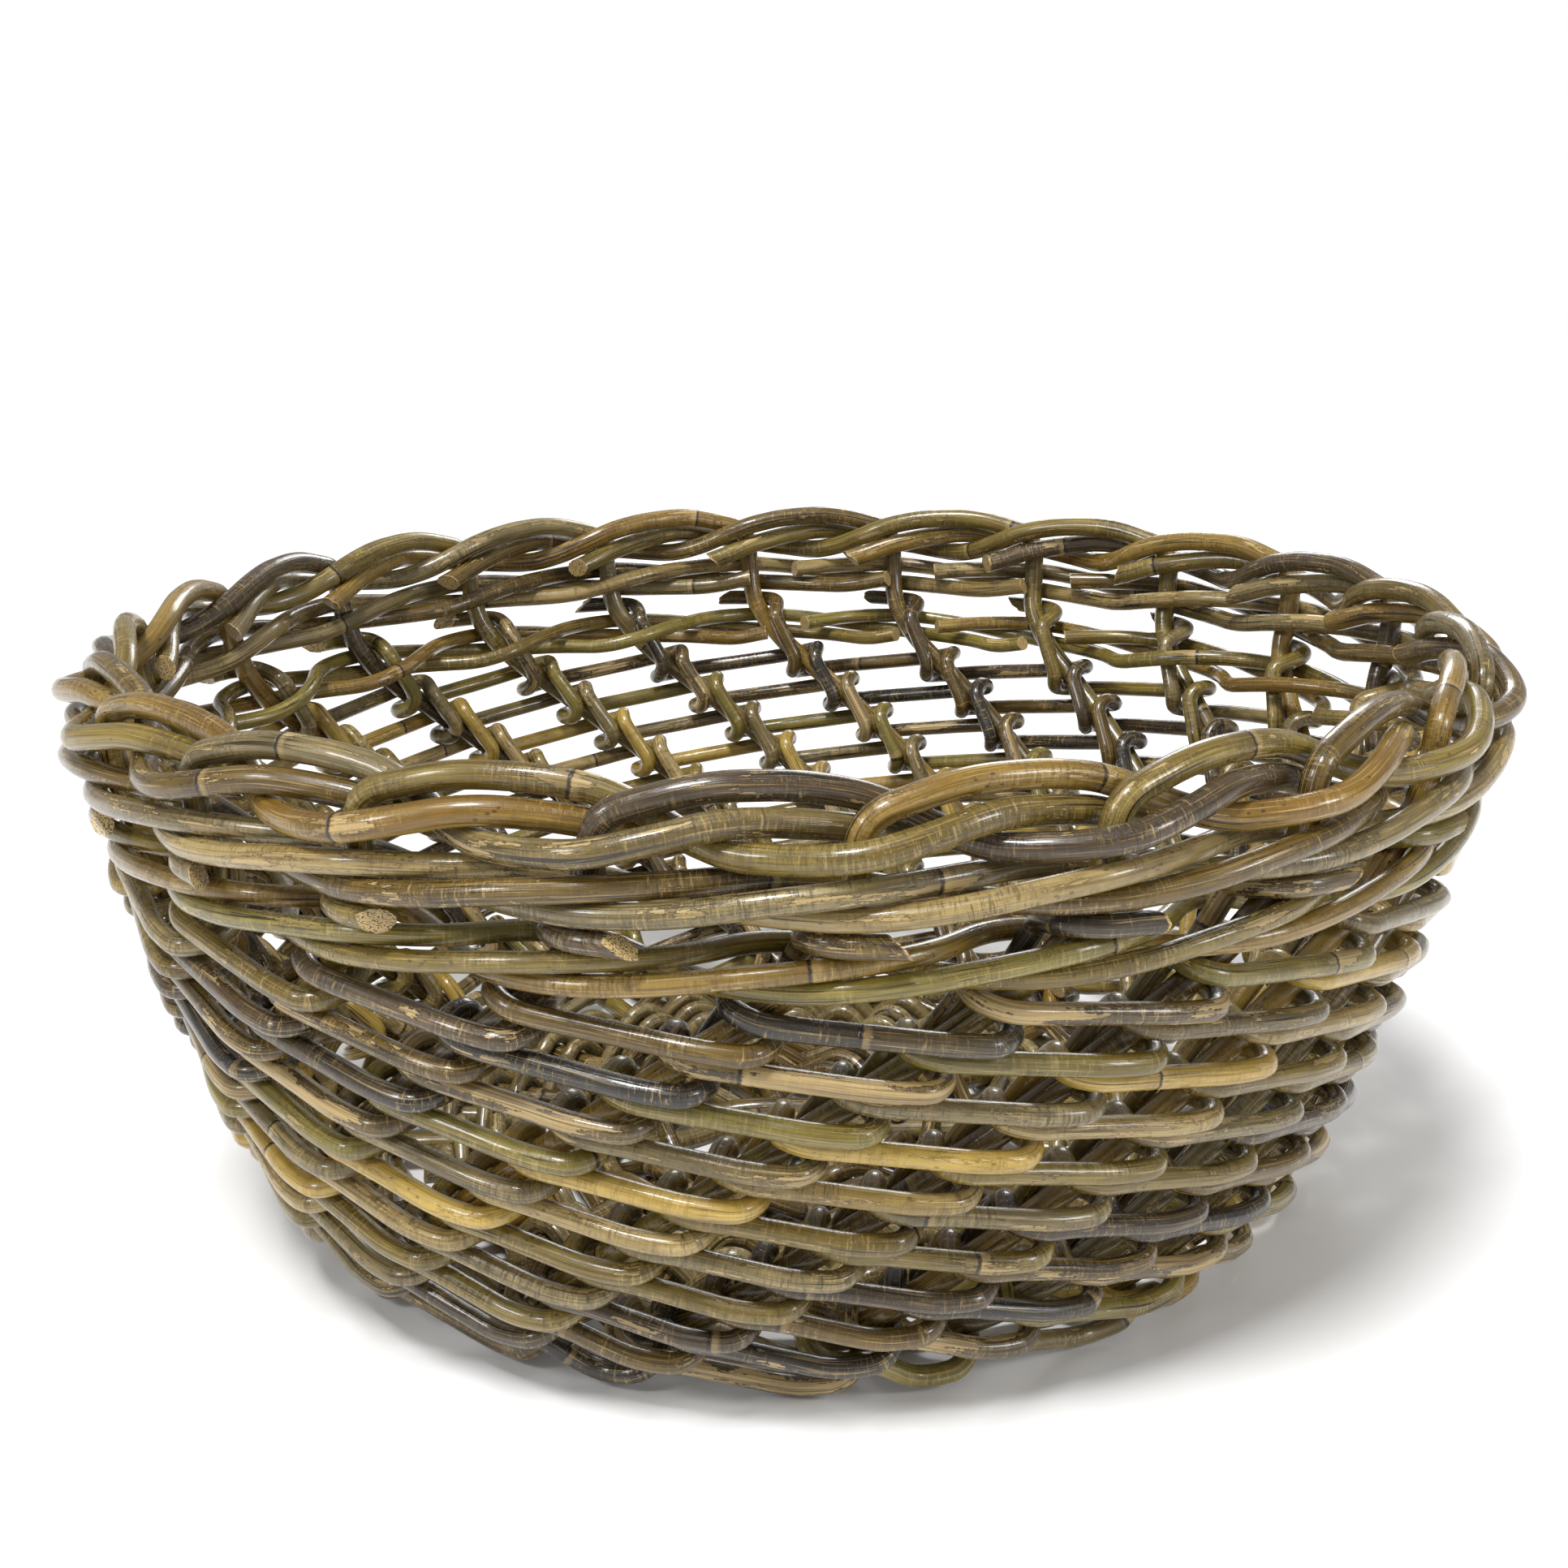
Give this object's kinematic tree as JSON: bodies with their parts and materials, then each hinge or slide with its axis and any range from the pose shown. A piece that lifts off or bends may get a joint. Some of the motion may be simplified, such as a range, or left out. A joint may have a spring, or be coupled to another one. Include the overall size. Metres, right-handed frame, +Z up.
{
  "type": "woven wicker basket",
  "caption": "Round open basket of natural cane: leaning stakes, each weaver wrapped once round every stake, twined bands under a plaited border.",
  "frame": {"origin": "middle of the footprint, on the floor under the base", "axes": "+Z up along the basket's own axis; X and Y lie in the floor plane, a stake half a step round from +X"},
  "size_m": [0.4789, 0.4782, 0.2086],
  "materials": {
    "border_cane": "clear varnished grey-brown cane",
    "weaver_cane": "clear varnished olive and straw cane",
    "wale_cane": "clear varnished olive-brown cane",
    "base_cane": "clear varnished grey-brown cane"
  },
  "bodies": {
    "root": {"stake_01": "border_cane", "stake_02": "border_cane", "stake_03": "border_cane", "stake_04": "border_cane", "stake_05": "border_cane", "stake_06": "border_cane", "stake_07": "border_cane", "stake_08": "border_cane", "stake_09": "border_cane", "stake_10": "border_cane", "stake_11": "border_cane", "stake_12": "border_cane", "stake_13": "border_cane", "stake_14": "border_cane", "stake_15": "border_cane", "stake_16": "border_cane", "stake_17": "border_cane", "stake_18": "border_cane", "stake_19": "border_cane", "stake_20": "border_cane", "stake_21": "border_cane", "stake_22": "border_cane", "weaver_01": "weaver_cane", "weaver_02": "weaver_cane", "weaver_03": "weaver_cane", "weaver_04": "weaver_cane", "weaver_05": "weaver_cane", "weaver_06": "weaver_cane", "weaver_07": "weaver_cane", "weaver_08": "weaver_cane", "weaver_09": "weaver_cane", "weaver_10": "weaver_cane", "weaver_11": "weaver_cane", "weaver_12": "weaver_cane", "weaver_13": "weaver_cane", "weaver_14": "weaver_cane", "weaver_15": "weaver_cane", "weaver_16": "weaver_cane", "weaver_17": "weaver_cane", "weaver_18": "weaver_cane", "weaver_19": "weaver_cane", "weaver_20": "weaver_cane", "weaver_21": "weaver_cane", "weaver_22": "weaver_cane", "upper_wale_a": "wale_cane", "upper_wale_b": "wale_cane", "upper_wale_c": "wale_cane", "lower_wale_a": "wale_cane", "lower_wale_b": "wale_cane", "lower_wale_c": "wale_cane", "base_stick_1": "base_cane", "base_stick_2": "base_cane", "base_stick_3": "base_cane", "base_stick_4": "base_cane", "base_stick_5": "base_cane", "base_half_stick": "base_cane", "base_weave_inner": "base_cane", "base_weave_outer": "base_cane", "upsett_cane_inner": "base_cane", "upsett_cane_outer": "base_cane"}
  },
  "joints": []
}
